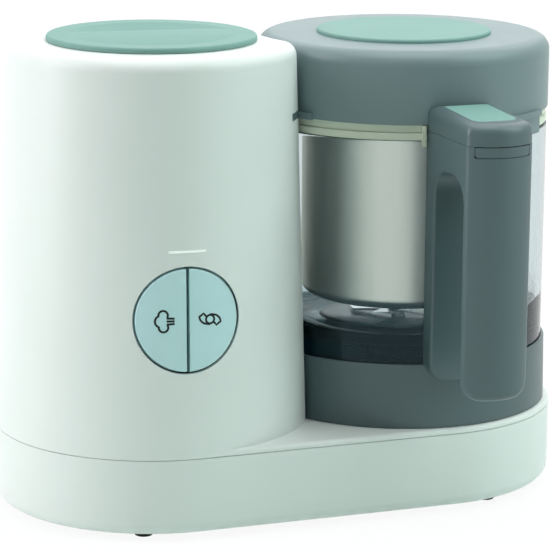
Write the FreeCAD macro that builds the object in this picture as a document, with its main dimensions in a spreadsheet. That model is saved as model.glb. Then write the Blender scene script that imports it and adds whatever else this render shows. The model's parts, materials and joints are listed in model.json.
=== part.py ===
import FreeCAD
import Part
import Sketcher
import math
import os

# A countertop steam cooker and blender for baby food: a round tower with the water tank, motor and
# controls, joined by a long base to a glass jug that stands in a concave bay of the tower.
# Millimetres, +Z up, standing on the plane z = 0. The tower axis and the jug axis lie on one line
# along X, and the handle points to -Y. The origin is under the middle of the whole outline.

DRIVING_SIZES = [
    # Outer form
    ("base_radius", 85.0),
    ("foot_height", 3.5),
    ("seam_height", 44.4),
    ("seam_gap", 0.35),
    ("deck_rise", 2.8),
    ("tower_height", 252.5),
    ("tower_top_radius", 77.2),
    ("bay_gap", 1.3),
    ("shell_wall", 2.5),
    ("pan_rounding", 6.0),
    ("deck_rounding", 2.4),
    ("tower_rounding", 7.0),
    ("bay_corner_rounding", 1.8),
    ("lip_depth", 5.0),
    ("lip_wall", 2.0),
    # Fits
    ("running_clearance", 0.05),
    ("sliding_clearance", 0.3),
    ("screw_clearance", 0.2),
    # Feet and base screws
    ("foot_radius", 5.0),
    ("foot_rounding", 1.0),
    ("foot_margin", 4.0),
    ("foot_angle", 68.2),
    ("boss_inset", 12.0),
    ("boss_radius", 5.5),
    ("screw_radius", 1.9),
    ("screw_head_radius", 3.6),
    ("screw_head_height", 1.2),
    ("screw_length", 16.0),
    # Cord inlet
    ("inlet_x", -30.0),
    ("inlet_z", 22.0),
    ("inlet_bore", 3.6),
    ("inlet_sleeve", 6.0),
    ("inlet_flange", 9.5),
    ("inlet_flange_depth", 5.0),
    # Air slots at the back of the tower
    ("slot_width", 3.0),
    ("slot_length", 26.0),
    ("slot_pitch", 7.0),
    ("slot_low", 62.0),
    # Control panel
    ("panel_turn", -5.0),
    ("button_height", 118.3),
    ("button_radius", 26.9),
    ("button_gap", 1.4),
    ("button_split", 1.7),
    ("button_proud", 0.2),
    ("button_depth", 11.0),
    ("button_skirt_inset", 4.0),
    ("button_travel", 1.5),
    ("button_rounding", 0.5),
    ("switch_width", 7.0),
    ("plunger_width", 3.5),
    ("plunger_height", 1.2),
    ("board_depth", 16.6),
    ("board_thickness", 1.6),
    ("board_width", 66.0),
    ("board_margin_low", 9.6),
    ("board_margin_high", 6.0),
    ("frame_wall", 3.0),
    ("light_rise", 7.6),
    ("light_width", 19.5),
    ("light_thickness", 1.0),
    ("light_proud", 0.25),
    # Water tank and cap
    ("cap_overhang", 8.6),
    ("cap_thickness", 2.8),
    ("cap_rounding", 1.4),
    ("cap_rim", 11.6),
    ("cap_boss_depth", 4.2),
    ("cap_dish_depth", 6.0),
    ("cap_arch_radius", 150.0),
    ("cap_arch_rise", 0.2),
    ("cap_turn", -7.0),
    ("cap_stem_radius", 6.0),
    ("cap_stem_length", 11.0),
    ("neck_radius", 47.5),
    ("plug_depth", 8.8),
    ("plug_wall", 2.5),
    ("cap_seal_height", 3.0),
    ("cap_seal_depth", 2.5),
    ("collar_wall", 10.5),
    ("tank_margin", 1.2),
    ("collar_depth", 12.0),
    ("gasket_thickness", 1.2),
    ("tank_step", 2.5),
    ("tank_wall", 1.2),
    ("heater_clearance", 8.8),
    ("tank_corner", 3.6),
    ("tank_flange", 4.0),
    ("clamp_thickness", 3.0),
    ("clamp_screw_radius", 1.4),
    ("clamp_screw_head", 2.5),
    ("heater_inset", 4.0),
    ("heater_thickness", 6.0),
    ("element_inset", 12.0),
    ("element_radius", 3.5),
    ("thermostat_radius", 9.0),
    ("thermostat_height", 8.0),
    ("steam_bore", 3.5),
    ("steam_pipe_radius", 5.0),
    ("nozzle_radius", 7.0),
    ("nozzle_flange_radius", 9.0),
    # Motor and belt drive
    ("motor_radius", 34.0),
    ("motor_wall", 2.0),
    ("motor_low", 62.0),
    ("motor_height", 64.0),
    ("stator_radius", 22.0),
    ("air_gap", 0.6),
    ("core_height", 36.0),
    ("shaft_radius", 4.0),
    ("shaft_tail", 4.0),
    ("fan_radius", 27.0),
    ("fan_height", 9.0),
    ("fan_gap", 3.0),
    ("fan_hub_radius", 8.0),
    ("fan_blade_thickness", 2.0),
    ("bracket_radius", 44.0),
    ("bracket_wall", 3.0),
    ("bracket_hole", 10.0),
    ("belt_low", 15.0),
    ("belt_width", 12.0),
    ("belt_thickness", 2.0),
    ("belt_clearance", 0.1),
    ("belt_side_gap", 0.3),
    ("small_pulley_radius", 11.0),
    ("large_pulley_radius", 36.0),
    ("pulley_rim", 2.0),
    ("pulley_lip", 2.5),
    ("pulley_hub_radius", 12.0),
    ("pulley_rim_depth", 4.0),
    ("pulley_web", 4.0),
    ("spindle_radius", 6.0),
    ("bearing_radius", 11.0),
    ("bearing_height", 5.0),
    ("spindle_boss_radius", 15.0),
    ("spindle_flange_radius", 26.0),
    ("dog_hub_radius", 9.0),
    ("dog_radius", 13.0),
    ("dog_height", 10.0),
    ("dog_width", 4.5),
    ("dog_clearance", 0.6),
    ("dog_overlap", 1.0),
    # Jug
    ("jug_gap", 0.3),
    ("jug_base_flare", 0.6),
    ("jug_base_lip", 1.8),
    ("jug_base_height", 35.0),
    ("jug_base_rounding", 0.7),
    ("jug_base_wall", 3.0),
    ("jug_floor_rise", 23.0),
    ("jug_floor_thickness", 3.5),
    ("jug_floor_hole", 30.0),
    ("bottom_plate_thickness", 2.5),
    ("bottom_plate_hole", 24.0),
    ("glass_radius", 79.5),
    ("glass_wall", 3.2),
    ("glass_floor", 12.0),
    ("glass_corner", 20.0),
    ("glass_foot_rounding", 5.0),
    ("glass_rim_rounding", 1.2),
    ("glass_gasket_thickness", 1.5),
    ("glass_gasket_width", 14.5),
    # Blade unit
    ("blade_seat_radius", 13.7),
    ("blade_flange_radius", 45.0),
    ("blade_flange_height", 3.0),
    ("blade_flange_rounding", 2.0),
    ("blade_nut_radius", 36.0),
    ("blade_nut_height", 5.0),
    ("blade_shaft_radius", 4.0),
    ("blade_rise", 3.0),
    ("blade_hub_radius", 8.0),
    ("blade_hub_height", 3.0),
    ("blade_root_depth", 2.0),
    ("blade_cap_height", 4.0),
    ("blade_cap_rounding", 2.0),
    ("blade_thickness", 1.2),
    ("blade_reach", 31.0),
    ("blade_width", 11.0),
    ("blade_tip_offset", 2.75),
    ("blade_tilt", 6.0),
    ("coupling_radius", 18.0),
    ("coupling_roof", 4.0),
    ("coupling_gap", 1.0),
    # Handle
    ("grip_bulge", 8.0),
    ("handle_width", 37.0),
    ("finger_gap", 36.6),
    ("grip_side", 3.4),
    ("spine_depth", 8.5),
    ("handle_overlap", 7.5),
    ("handle_seam_drop", 2.7),
    ("arch_drop", 18.2),
    ("arch_rounding", 14.0),
    ("leg_rounding", 10.0),
    ("handle_edge", 1.6),
    ("grip_edge", 4.0),
    ("cap_height_rear", 14.1),
    ("cap_height_front", 10.9),
    ("cap_edge", 5.5),
    ("handle_lid_gap", 0.45),
    ("inset_margin", 0.65),
    ("inset_setback", 4.7),
    ("inset_front_margin", 11.6),
    ("inset_thickness", 1.6),
    ("inset_corner", 6.0),
    ("trigger_height", 5.8),
    ("trigger_side", 3.4),
    ("trigger_corner", 1.6),
    ("trigger_travel", 1.8),
    ("trigger_stem_width", 16.0),
    ("trigger_stem_length", 10.0),
    # Basket
    ("basket_radius", 55.0),
    ("basket_wall", 0.8),
    ("basket_clearance", 5.5),
    ("basket_corner", 6.0),
    ("basket_weld_rise", 0.5),
    ("basket_rim", 7.0),
    ("basket_hole_radius", 2.0),
    ("basket_ring_first", 14.0),
    ("basket_ring_margin", 1.0),
    ("collar_flange_height", 8.0),
    ("collar_band_height", 4.0),
    ("collar_groove_height", 0.5),
    ("collar_groove_depth", 1.2),
    ("collar_step", 0.7),
    ("collar_rounding", 0.6),
    ("collar_skirt_height", 1.6),
    ("collar_web", 1.8),
    ("tab_from", -15.4),
    ("tab_to", -14.0),
    ("tab_thickness", 1.8),
    ("tab_drop", 3.0),
    # Lid
    ("lid_overhang", 0.4),
    ("lid_height", 38.5),
    ("lid_drop", 1.8),
    ("lid_wall", 3.0),
    ("lid_rounding", 8.0),
    ("lid_disc_radius", 47.8),
    ("lid_disc_proud", 2.0),
    ("lid_disc_sunk", 1.0),
    ("lid_disc_rounding", 1.5),
    ("liner_height", 2.5),
    ("liner_ring_inset", 6.9),
    ("liner_hole_radius", 3.0),
    ("liner_hole_circle", 30.0),
    ("seal_width", 10.9),
    ("lug_reach", 2.1),
    ("left_lug_from", -68.0),
    ("left_lug_to", -59.2),
    ("left_lug_drop", 0.6),
    ("left_lug_rise", 2.9),
    ("right_lug_from", 23.0),
    ("right_lug_to", 43.8),
    ("right_lug_drop", 10.7),
    ("right_lug_rise", 1.6),
    ("lug_band", 3.0),
    ("lug_step", 1.3),
    # Lid catch in the tower's edge
    ("catch_from", -64.0),
    ("catch_to", -58.0),
    ("catch_depth", 13.0),
    ("catch_low", 0.5),
    ("catch_high", 4.6),
    # Jug sensing pin
    ("pin_radius", 3.0),
    ("pin_length", 18.0),
    ("pin_offset", 55.0),
    ("pin_travel", 2.0),
    ("pin_shoulder_radius", 4.5),
    ("pin_shoulder_height", 2.0),
    ("interlock_gap", 0.2),
    ("interlock_width", 12.0),
    ("interlock_depth", 9.0),
]

SLOT_COUNT = 5
CLAMP_SCREW_COUNT = 6
FAN_BLADE_COUNT = 9
BLADE_COUNT = 4
DOG_COUNT = 4
LINER_HOLE_COUNT = 8
# Rings of steam holes in the basket floor, and how many holes each ring adds to the last
BASKET_RING_COUNT = 3
BASKET_RING_COUNT_STEP = 6

# How far a cutting solid runs past the face that it cuts, and past a curved wall
PAST = 1.0
WALL_PAST = 4.0
# How close two places are when they count as the same
SAME = 1e-3
FULL_TURN = 360.0
QUARTER_TURN = 90.0


class Size:
    """A length that knows its value now and the expression that gives it."""

    def __init__(self, value, text):
        self.value = float(value)
        self.text = text

    def __add__(self, other):
        other = size(other)
        return Size(self.value + other.value, "(%s + %s)" % (self.text, other.text))

    def __radd__(self, other):
        return size(other) + self

    def __sub__(self, other):
        other = size(other)
        return Size(self.value - other.value, "(%s - %s)" % (self.text, other.text))

    def __rsub__(self, other):
        return size(other) - self

    def __mul__(self, other):
        other = size(other)
        return Size(self.value * other.value, "(%s * %s)" % (self.text, other.text))

    def __rmul__(self, other):
        return size(other) * self

    def __truediv__(self, other):
        other = size(other)
        return Size(self.value / other.value, "(%s / %s)" % (self.text, other.text))

    def __neg__(self):
        return size(0.0) - self


def size(amount):
    if isinstance(amount, Size):
        return amount
    return Size(amount, "(%.9g)" % amount)


def root(amount):
    return Size(math.sqrt(amount.value), "sqrt(%s)" % amount.text)


def sine(angle):
    return Size(math.sin(math.radians(angle.value)), "sin(%s)" % angle.text)


def cosine(angle):
    return Size(math.cos(math.radians(angle.value)), "cos(%s)" % angle.text)


class Sizes:
    """The driving sizes by name, each one a cell of the sheet."""


doc = FreeCAD.newDocument("food_maker")
sheet = doc.addObject("Spreadsheet::Sheet", "sizes")
d = Sizes()
for row, (alias, amount) in enumerate(DRIVING_SIZES, start=1):
    sheet.set("A%d" % row, alias)
    sheet.set("B%d" % row, "%.9g" % amount)
    sheet.setAlias("B%d" % row, alias)
    setattr(d, alias, Size(amount, "sizes." + alias))
doc.recompute()

UP = FreeCAD.Vector(0, 0, 1)
TO_FRONT = FreeCAD.Rotation(FreeCAD.Vector(1, 0, 0), 90)
TO_BACK = FreeCAD.Rotation(FreeCAD.Vector(1, 0, 0), -90)
TO_JUG = FreeCAD.Rotation(FreeCAD.Vector(0, 1, 0), 90)
nodes = []


# Building blocks

def bind(item, name, amount):
    item.setExpression(name, size(amount).text)


def place(item, x, y, z, turn=0.0, lean=None):
    """Puts an item at a point, leaned from +Z first and then turned about the vertical."""
    rotation = FreeCAD.Rotation(UP, turn)
    if lean is not None:
        rotation = rotation * lean
    item.Placement = FreeCAD.Placement(FreeCAD.Vector(), rotation)
    bind(item, "Placement.Base.x", x)
    bind(item, "Placement.Base.y", y)
    bind(item, "Placement.Base.z", z)
    return item


def node(item, label):
    item.Label = label
    nodes.append(item)
    return item


def cylinder(radius, low, high, x, y, turn=0.0, lean=None):
    item = doc.addObject("Part::Cylinder", "cylinder")
    bind(item, "Radius", radius)
    bind(item, "Height", size(high) - low)
    return place(item, x, y, low, turn, lean)


def front_cylinder(radius, near, far, x, z, turn=0.0):
    """A cylinder that points from the line x, axis_y to the front, from near to far along it."""
    item = doc.addObject("Part::Cylinder", "cylinder")
    bind(item, "Radius", radius)
    bind(item, "Height", size(far) - near)
    angle = size(turn)
    return place(item, x + near * sine(angle), axis_y - near * cosine(angle), z, angle.value, TO_FRONT)


def box(x_size, y_size, z_size, x, y, z, turn=0.0):
    """A box whose lowest corner is at x, y, z before it turns about that corner."""
    item = doc.addObject("Part::Box", "box")
    bind(item, "Length", x_size)
    bind(item, "Width", y_size)
    bind(item, "Height", z_size)
    return place(item, x, y, z, turn)


def front_box(width, near, far, low, high, x, turn=0.0, shift=0.0):
    """A box that faces the front: near and far from the axis at x, shift to its own right."""
    angle = size(turn)
    side = size(shift) - size(width) / 2
    corner_x = x + far * sine(angle) + side * cosine(angle)
    corner_y = axis_y - far * cosine(angle) + side * sine(angle)
    return box(width, size(far) - near, size(high) - low, corner_x, corner_y, low, angle.value)


def fuse(*items):
    joined = doc.addObject("Part::MultiFuse", "joined")
    joined.Shapes = list(items)
    joined.Refine = True
    return joined


def cut(item, *tools):
    tool = tools[0] if len(tools) == 1 else fuse(*tools)
    rest = doc.addObject("Part::Cut", "rest")
    rest.Base = item
    rest.Tool = tool
    rest.Refine = True
    return rest


def common(*items):
    shared = doc.addObject("Part::MultiCommon", "shared")
    shared.Shapes = list(items)
    shared.Refine = True
    return shared


def stadium(radius, low, high):
    """The base outline: two round ends on the two axes, joined by straight sides."""
    left = cylinder(radius, low, high, tower_x, axis_y)
    right = cylinder(radius, low, high, jug_x, axis_y)
    middle = box(d.axis_spacing, size(radius) * 2, size(high) - low, tower_x, axis_y - radius, low)
    return fuse(left, middle, right)


def rounded(item, radius, wanted):
    """Rounds the edges of an item that the test picks."""
    doc.recompute()
    picked = [n for n, edge in enumerate(item.Shape.Edges, start=1) if wanted(edge)]
    if not picked:
        raise RuntimeError("no edge to round on " + item.Label)
    smooth = doc.addObject("Part::Fillet", "smooth")
    smooth.Base = item
    smooth.Edges = [(n, size(radius).value, size(radius).value) for n in picked]
    return smooth


def level(z):
    """A test for edges that lie flat at one height."""
    height = size(z).value

    def lies_there(edge):
        bounds = edge.BoundBox
        return abs(bounds.ZMin - height) < SAME and abs(bounds.ZMax - height) < SAME

    return lies_there


def sketch_on(body, role, corners):
    """A closed outline of straight edges, each corner tied to its two sizes."""
    sketch = body.newObject("Sketcher::SketchObject", "outline")
    plane = [feature for feature in body.Origin.OriginFeatures if feature.Role == role][0]
    sketch.AttachmentSupport = [(plane, "")]
    sketch.MapMode = "FlatFace"
    points = [FreeCAD.Vector(size(u).value, size(v).value, 0) for u, v in corners]
    count = len(points)
    for index in range(count):
        sketch.addGeometry(Part.LineSegment(points[index], points[(index + 1) % count]), False)
    for index in range(count):
        sketch.addConstraint(Sketcher.Constraint("Coincident", index, 2, (index + 1) % count, 1))
    for index, (u, v) in enumerate(corners):
        for kind, amount in (("DistanceX", u), ("DistanceY", v)):
            made = sketch.addConstraint(Sketcher.Constraint(kind, index, 1, size(amount).value))
            name = "%s%d" % (kind, index)
            sketch.renameConstraint(made, name)
            sketch.setExpression("Constraints." + name, size(amount).text)
    return sketch


def ring_edge(radius, z):
    """A test for the round edge of a turned piece at one radius and height."""
    wanted_radius = size(radius).value
    wanted_z = size(z).value

    def is_it(edge):
        curve = edge.Curve
        if not isinstance(curve, Part.Circle):
            return False
        return abs(curve.Radius - wanted_radius) < SAME and abs(curve.Center.z - wanted_z) < SAME

    return is_it


def soften(body, feature, radius, wanted):
    doc.recompute()
    names = ["Edge%d" % n for n, edge in enumerate(feature.Shape.Edges, start=1) if wanted(edge)]
    if not names:
        raise RuntimeError("no edge to soften in " + body.Label)
    smooth = body.newObject("PartDesign::Fillet", "soft")
    smooth.Base = (feature, names)
    bind(smooth, "Radius", radius)
    return smooth


def turned(corners, x, rounds=()):
    """A turned piece: corners are (radius, height) pairs, rounds are (radius, height, rounding)."""
    body = doc.addObject("PartDesign::Body", "turned")
    sketch = sketch_on(body, "XZ_Plane", corners)
    feature = body.newObject("PartDesign::Revolution", "turn")
    feature.Profile = sketch
    feature.ReferenceAxis = (sketch, ["V_Axis"])
    feature.Angle = FULL_TURN
    for radius, z, rounding in rounds:
        feature = soften(body, feature, rounding, ring_edge(radius, z))
    body.Tip = feature
    return place(body, x, axis_y, 0.0)


def tube(inner, outer, low, high, x):
    return turned([(inner, low), (outer, low), (outer, high), (inner, high)], x)


def disc(radius, low, high, x, rounds=()):
    return turned([(0.0, low), (radius, low), (radius, high), (0.0, high)], x, rounds)


def side_profile(corners, width, x, rounds=()):
    """A prism across X, centred on the axis at x, from (reach to the front, height) pairs."""
    body = doc.addObject("PartDesign::Body", "profile")
    sketch = sketch_on(body, "YZ_Plane", [(-size(reach), z) for reach, z in corners])
    feature = body.newObject("PartDesign::Pad", "width")
    feature.Profile = sketch
    feature.Midplane = True
    bind(feature, "Length", width)
    for reach, z, rounding in rounds:
        feature = soften(body, feature, rounding, across_edge(reach, z))
    body.Tip = feature
    return place(body, x, axis_y, 0.0)


def across_edge(reach, z):
    """A test for the edge across X at one reach and height."""
    wanted_y = -size(reach).value
    wanted_z = size(z).value

    def is_it(edge):
        bounds = edge.BoundBox
        flat = bounds.YLength < SAME and bounds.ZLength < SAME
        return flat and abs(bounds.YMin - wanted_y) < SAME and abs(bounds.ZMin - wanted_z) < SAME

    return is_it


def side_cylinder(radius, near, far, z):
    """A cylinder that points from the tower axis to the jug."""
    item = doc.addObject("Part::Cylinder", "cylinder")
    bind(item, "Radius", radius)
    bind(item, "Height", size(far) - near)
    return place(item, tower_x + near, axis_y, z, 0.0, TO_JUG)


def rear_cylinder(radius, near, far, x, z):
    """A cylinder that points from the line of the axes to the back."""
    item = doc.addObject("Part::Cylinder", "cylinder")
    bind(item, "Radius", radius)
    bind(item, "Height", size(far) - near)
    return place(item, x, axis_y + near, z, 0.0, TO_BACK)


def sector(radius, start, end, low, high, x):
    """A slice of a cylinder between two angles from the front, positive to the right."""
    item = cylinder(radius, low, high, x, axis_y, start.value - QUARTER_TURN)
    bind(item, "Angle", end - start)
    return item


# Places that several pieces share

# Round forms, from the glass outwards
d.lid_radius = d.glass_radius + d.lid_overhang
d.lug_radius = d.lid_radius + d.lug_reach
d.bay_radius = d.lug_radius + d.bay_gap
d.jug_base_top_radius = d.glass_radius + d.jug_base_lip
d.jug_base_radius = d.jug_base_top_radius + d.jug_base_flare
d.spine_outer = d.glass_radius + d.spine_depth
d.grip_inner = d.spine_outer + d.finger_gap
d.grip_corner = d.grip_inner + d.grip_side
d.handle_reach = d.grip_corner + d.grip_bulge

# Round forms of the tank, from its neck outwards, up to the bay that the jug stands in
d.collar_radius = d.neck_radius + d.collar_wall
d.tank_radius = d.neck_radius + d.tank_step
d.tank_flange_radius = d.tank_radius + d.tank_flange
d.clamp_screw_circle = (d.tank_flange_radius + d.collar_radius) / 2
d.heater_radius = d.tank_radius - d.heater_inset
d.element_circle = d.heater_radius - d.element_inset
d.cap_radius = d.neck_radius + d.cap_overhang
d.cap_dish_radius = d.cap_radius - d.cap_rim
d.axis_spacing = d.collar_radius + d.tank_margin + d.shell_wall + d.bay_radius

# Heights
housing_low = d.seam_height + d.seam_gap
pan_floor = d.foot_height + d.shell_wall
d.deck_height = housing_low + d.deck_rise
deck_under = d.deck_height - d.shell_wall
top_under = d.tower_height - d.shell_wall
d.lid_top = d.tower_height - d.lid_drop
d.lid_low = d.lid_top - d.lid_height
rim_high = d.lid_low - d.sliding_clearance
rim_low = rim_high - d.collar_flange_height
d.glass_rim = rim_low - d.sliding_clearance
jug_low = d.deck_height + d.jug_gap
d.jug_base_top = jug_low + d.jug_base_height
d.jug_floor_low = jug_low + d.jug_floor_rise
jug_floor = d.jug_floor_low + d.jug_floor_thickness
glass_low = jug_floor + d.glass_gasket_thickness
glass_floor = glass_low + d.glass_floor
d.blade_height = glass_floor + d.blade_flange_height + d.blade_rise
blade_top = d.blade_height + d.blade_hub_height + d.blade_cap_height
d.basket_bottom = blade_top + d.basket_clearance

motor_high = d.motor_low + d.motor_height
fan_low = motor_high + d.fan_gap
fan_high = fan_low + d.fan_height
tank_low = fan_high + d.heater_clearance + d.thermostat_height + d.heater_thickness
collar_low = top_under - d.collar_depth
tank_top = collar_low - d.gasket_thickness
clamp_low = tank_top - d.tank_wall - d.clamp_thickness
d.steam_height = clamp_low - d.steam_pipe_radius - d.sliding_clearance
bay_inside = d.bay_radius + d.shell_wall

# The two axes, and the places of screws and feet on the base
tower_x = -(d.axis_spacing / 2)
jug_x = d.axis_spacing / 2
axis_y = (d.handle_reach - d.base_radius) / 2
lip_radius = d.base_radius - d.shell_wall - d.sliding_clearance
d.boss_across = d.base_radius - d.boss_inset
foot_circle = d.base_radius - d.pan_rounding - d.foot_radius - d.foot_margin
foot_out = foot_circle * cosine(d.foot_angle)
foot_across = foot_circle * sine(d.foot_angle)
SCREW_PLACES = [(x, side) for x in (tower_x, jug_x) for side in (-1.0, 1.0)]


def tower_radius(z):
    """The tower narrows evenly from the base radius at the seam to its top."""
    rise = (size(z) - housing_low) / (d.tower_height - housing_low)
    return d.base_radius - (d.base_radius - d.tower_top_radius) * rise


# The controls, from the front of the tower inwards
d.button_face = tower_radius(d.button_height) + d.button_proud
d.board_front = d.button_face - d.board_depth
d.light_height = d.button_height + d.button_radius + d.button_gap + d.light_rise


def tower_form(inset, low, high, rounding):
    wide = tower_radius(low) - inset
    narrow = tower_radius(high) - inset
    return turned([(0.0, low), (wide, low), (narrow, high), (0.0, high)], tower_x,
                  [(narrow, high, rounding)])


# Base pan, feet, base screws and cord inlet

def make_base_pan():
    outer = rounded(stadium(d.base_radius, d.foot_height, d.seam_height), d.pan_rounding,
                    level(d.foot_height))
    inner = rounded(stadium(d.base_radius - d.shell_wall, pan_floor, d.seam_height + PAST),
                    d.pan_rounding - d.shell_wall, level(pan_floor))
    holes = [rear_cylinder(d.inlet_sleeve, d.base_radius - d.shell_wall - PAST, d.base_radius + PAST,
                           d.inlet_x, d.inlet_z)]
    for x, side in SCREW_PLACES:
        y = axis_y + side * d.boss_across
        holes.append(cylinder(d.screw_radius + d.screw_clearance, d.foot_height - PAST,
                              pan_floor + PAST, x, y))
        holes.append(cylinder(d.screw_head_radius + d.screw_clearance, d.foot_height - PAST,
                              d.foot_height + d.screw_head_height, x, y))
    node(cut(outer, inner, *holes), "base_pan")


def make_feet():
    feet = []
    for side_x in (-1.0, 1.0):
        for side_y in (-1.0, 1.0):
            x = side_x * (jug_x + foot_out)
            y = axis_y + side_y * foot_across
            feet.append(cylinder(d.foot_radius, 0.0, d.foot_height, x, y))
    node(rounded(fuse(*feet), d.foot_rounding, level(0.0)), "rubber_feet")


def make_base_screws():
    pieces = []
    head_top = d.foot_height + d.screw_head_height
    for x, side in SCREW_PLACES:
        y = axis_y + side * d.boss_across
        pieces.append(cylinder(d.screw_head_radius, d.foot_height, head_top, x, y))
        pieces.append(cylinder(d.screw_radius, d.foot_height, head_top + d.screw_length, x, y))
    node(fuse(*pieces), "base_screws")


def make_cord_gland():
    inside = d.base_radius - d.shell_wall
    start = inside - d.inlet_flange_depth
    sleeve = rear_cylinder(d.inlet_sleeve, start, d.base_radius, d.inlet_x, d.inlet_z)
    flange = rear_cylinder(d.inlet_flange, start, inside, d.inlet_x, d.inlet_z)
    bore = rear_cylinder(d.inlet_bore, start - PAST, d.base_radius + PAST, d.inlet_x, d.inlet_z)
    node(cut(fuse(sleeve, flange), bore), "cord_gland")


# Upper housing: the tower and the deck in one shell

# How far from the corner at half height the middle of a leaning edge may lie
BAY_EDGE_SEARCH = 8.0


def bay_corner(z):
    """Where the bay meets the tower's side: how far along X from the tower axis, and across."""
    radius = tower_radius(z)
    along = (d.axis_spacing * d.axis_spacing + radius * radius - d.bay_radius * d.bay_radius)
    along = along / (d.axis_spacing * 2)
    return along, root(radius * radius - along * along)


def make_upper_housing():
    deck = rounded(stadium(d.base_radius, housing_low, d.deck_height), d.deck_rounding,
                   level(d.deck_height))
    tower = tower_form(0.0, housing_low, d.tower_height, d.tower_rounding)
    bay = cylinder(d.bay_radius, d.deck_height, d.tower_height + PAST, jug_x, axis_y)
    outer = cut(fuse(tower, deck), bay)
    outer = rounded(outer, d.bay_corner_rounding, is_bay_corner)
    hollow = tower_form(d.shell_wall, housing_low - PAST, top_under, d.tower_rounding - d.shell_wall)
    bay_wall = cylinder(d.bay_radius + d.shell_wall, deck_under, d.tower_height, jug_x, axis_y)
    deck_hollow = stadium(d.base_radius - d.shell_wall, housing_low - PAST, deck_under)
    shell = cut(outer, cut(hollow, bay_wall), deck_hollow)

    lip_low = d.seam_height - d.lip_depth
    lip_inside = stadium(lip_radius - d.lip_wall, lip_low - PAST, d.deck_height + PAST)
    lip = stadium(lip_radius, lip_low, housing_low)
    ledge = stadium(d.base_radius - d.shell_wall / 2, housing_low, d.deck_height - d.deck_rounding / 2)
    rim = cut(fuse(lip, ledge), lip_inside)

    pieces = [shell, rim]
    holes = []
    for x, side in SCREW_PLACES:
        y = axis_y + side * d.boss_across
        pieces.append(cylinder(d.boss_radius, pan_floor, deck_under + d.shell_wall / 2, x, y))
        web = lip_radius - d.lip_wall / 2 - d.boss_across
        web_y = y if side > 0 else y - web
        pieces.append(box(d.boss_radius * 2, web, deck_under - lip_low, x - d.boss_radius, web_y, lip_low))
        holes.append(cylinder(d.screw_radius + d.screw_clearance, pan_floor - PAST,
                              d.foot_height + d.screw_head_height + d.screw_length + PAST, x, y))

    holes.append(cylinder(d.neck_radius, top_under - PAST, d.tower_height + PAST, tower_x, axis_y))
    hole_radius = d.button_radius + d.button_gap
    holes.append(front_cylinder(hole_radius, d.board_front, d.base_radius + PAST, tower_x,
                                d.button_height, d.panel_turn))
    holes.append(light_bar(d.running_clearance, d.base_radius + PAST))
    holes.append(side_cylinder(d.nozzle_radius, d.tank_radius, d.axis_spacing - d.bay_radius + WALL_PAST,
                               d.steam_height))
    holes.append(cylinder(d.spindle_radius + PAST, deck_under - PAST, d.deck_height + PAST, jug_x, axis_y))
    holes.append(cylinder(d.pin_radius + d.running_clearance, deck_under - PAST, d.deck_height + PAST,
                          jug_x - d.pin_offset, axis_y))
    for index in range(SLOT_COUNT):
        shift = (index - (SLOT_COUNT - 1) / 2.0) * d.slot_pitch
        holes.append(box(d.slot_width, d.base_radius, d.slot_length, tower_x + shift - d.slot_width / 2,
                         axis_y + d.bracket_radius, d.slot_low))
    holes.append(catch_slot())
    node(cut(fuse(*pieces), *holes), "upper_housing")
    filling = common(tower_form(0.0, housing_low, d.tower_height, d.tower_rounding), catch_slot())
    node(cut(filling, cylinder(d.bay_radius, d.deck_height, d.tower_height, jug_x, axis_y)), "lid_catch")


def catch_slot():
    """The slot in the tower's front edge that the lid catch fills."""
    return sector(d.bay_radius + d.catch_depth, d.catch_from, d.catch_to, d.lid_low + d.catch_low,
                  d.lid_low + d.catch_high, jug_x)


def is_bay_corner(edge):
    """The two upright corners where the bay meets the tower."""
    bounds = edge.BoundBox
    along, across = bay_corner(d.tower_height / 2)
    near_x = abs(bounds.Center.x - (tower_x + along).value) < BAY_EDGE_SEARCH
    offset = abs(bounds.Center.y - axis_y.value)
    near_y = abs(offset - across.value) < BAY_EDGE_SEARCH
    return near_x and near_y and bounds.ZLength > d.deck_height.value - d.seam_height.value


def light_bar(margin, far):
    return front_box(d.light_width + margin * 2, d.board_front, far,
                     d.light_height - d.light_thickness / 2 - margin,
                     d.light_height + d.light_thickness / 2 + margin, tower_x, d.panel_turn)


# Controls

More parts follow.
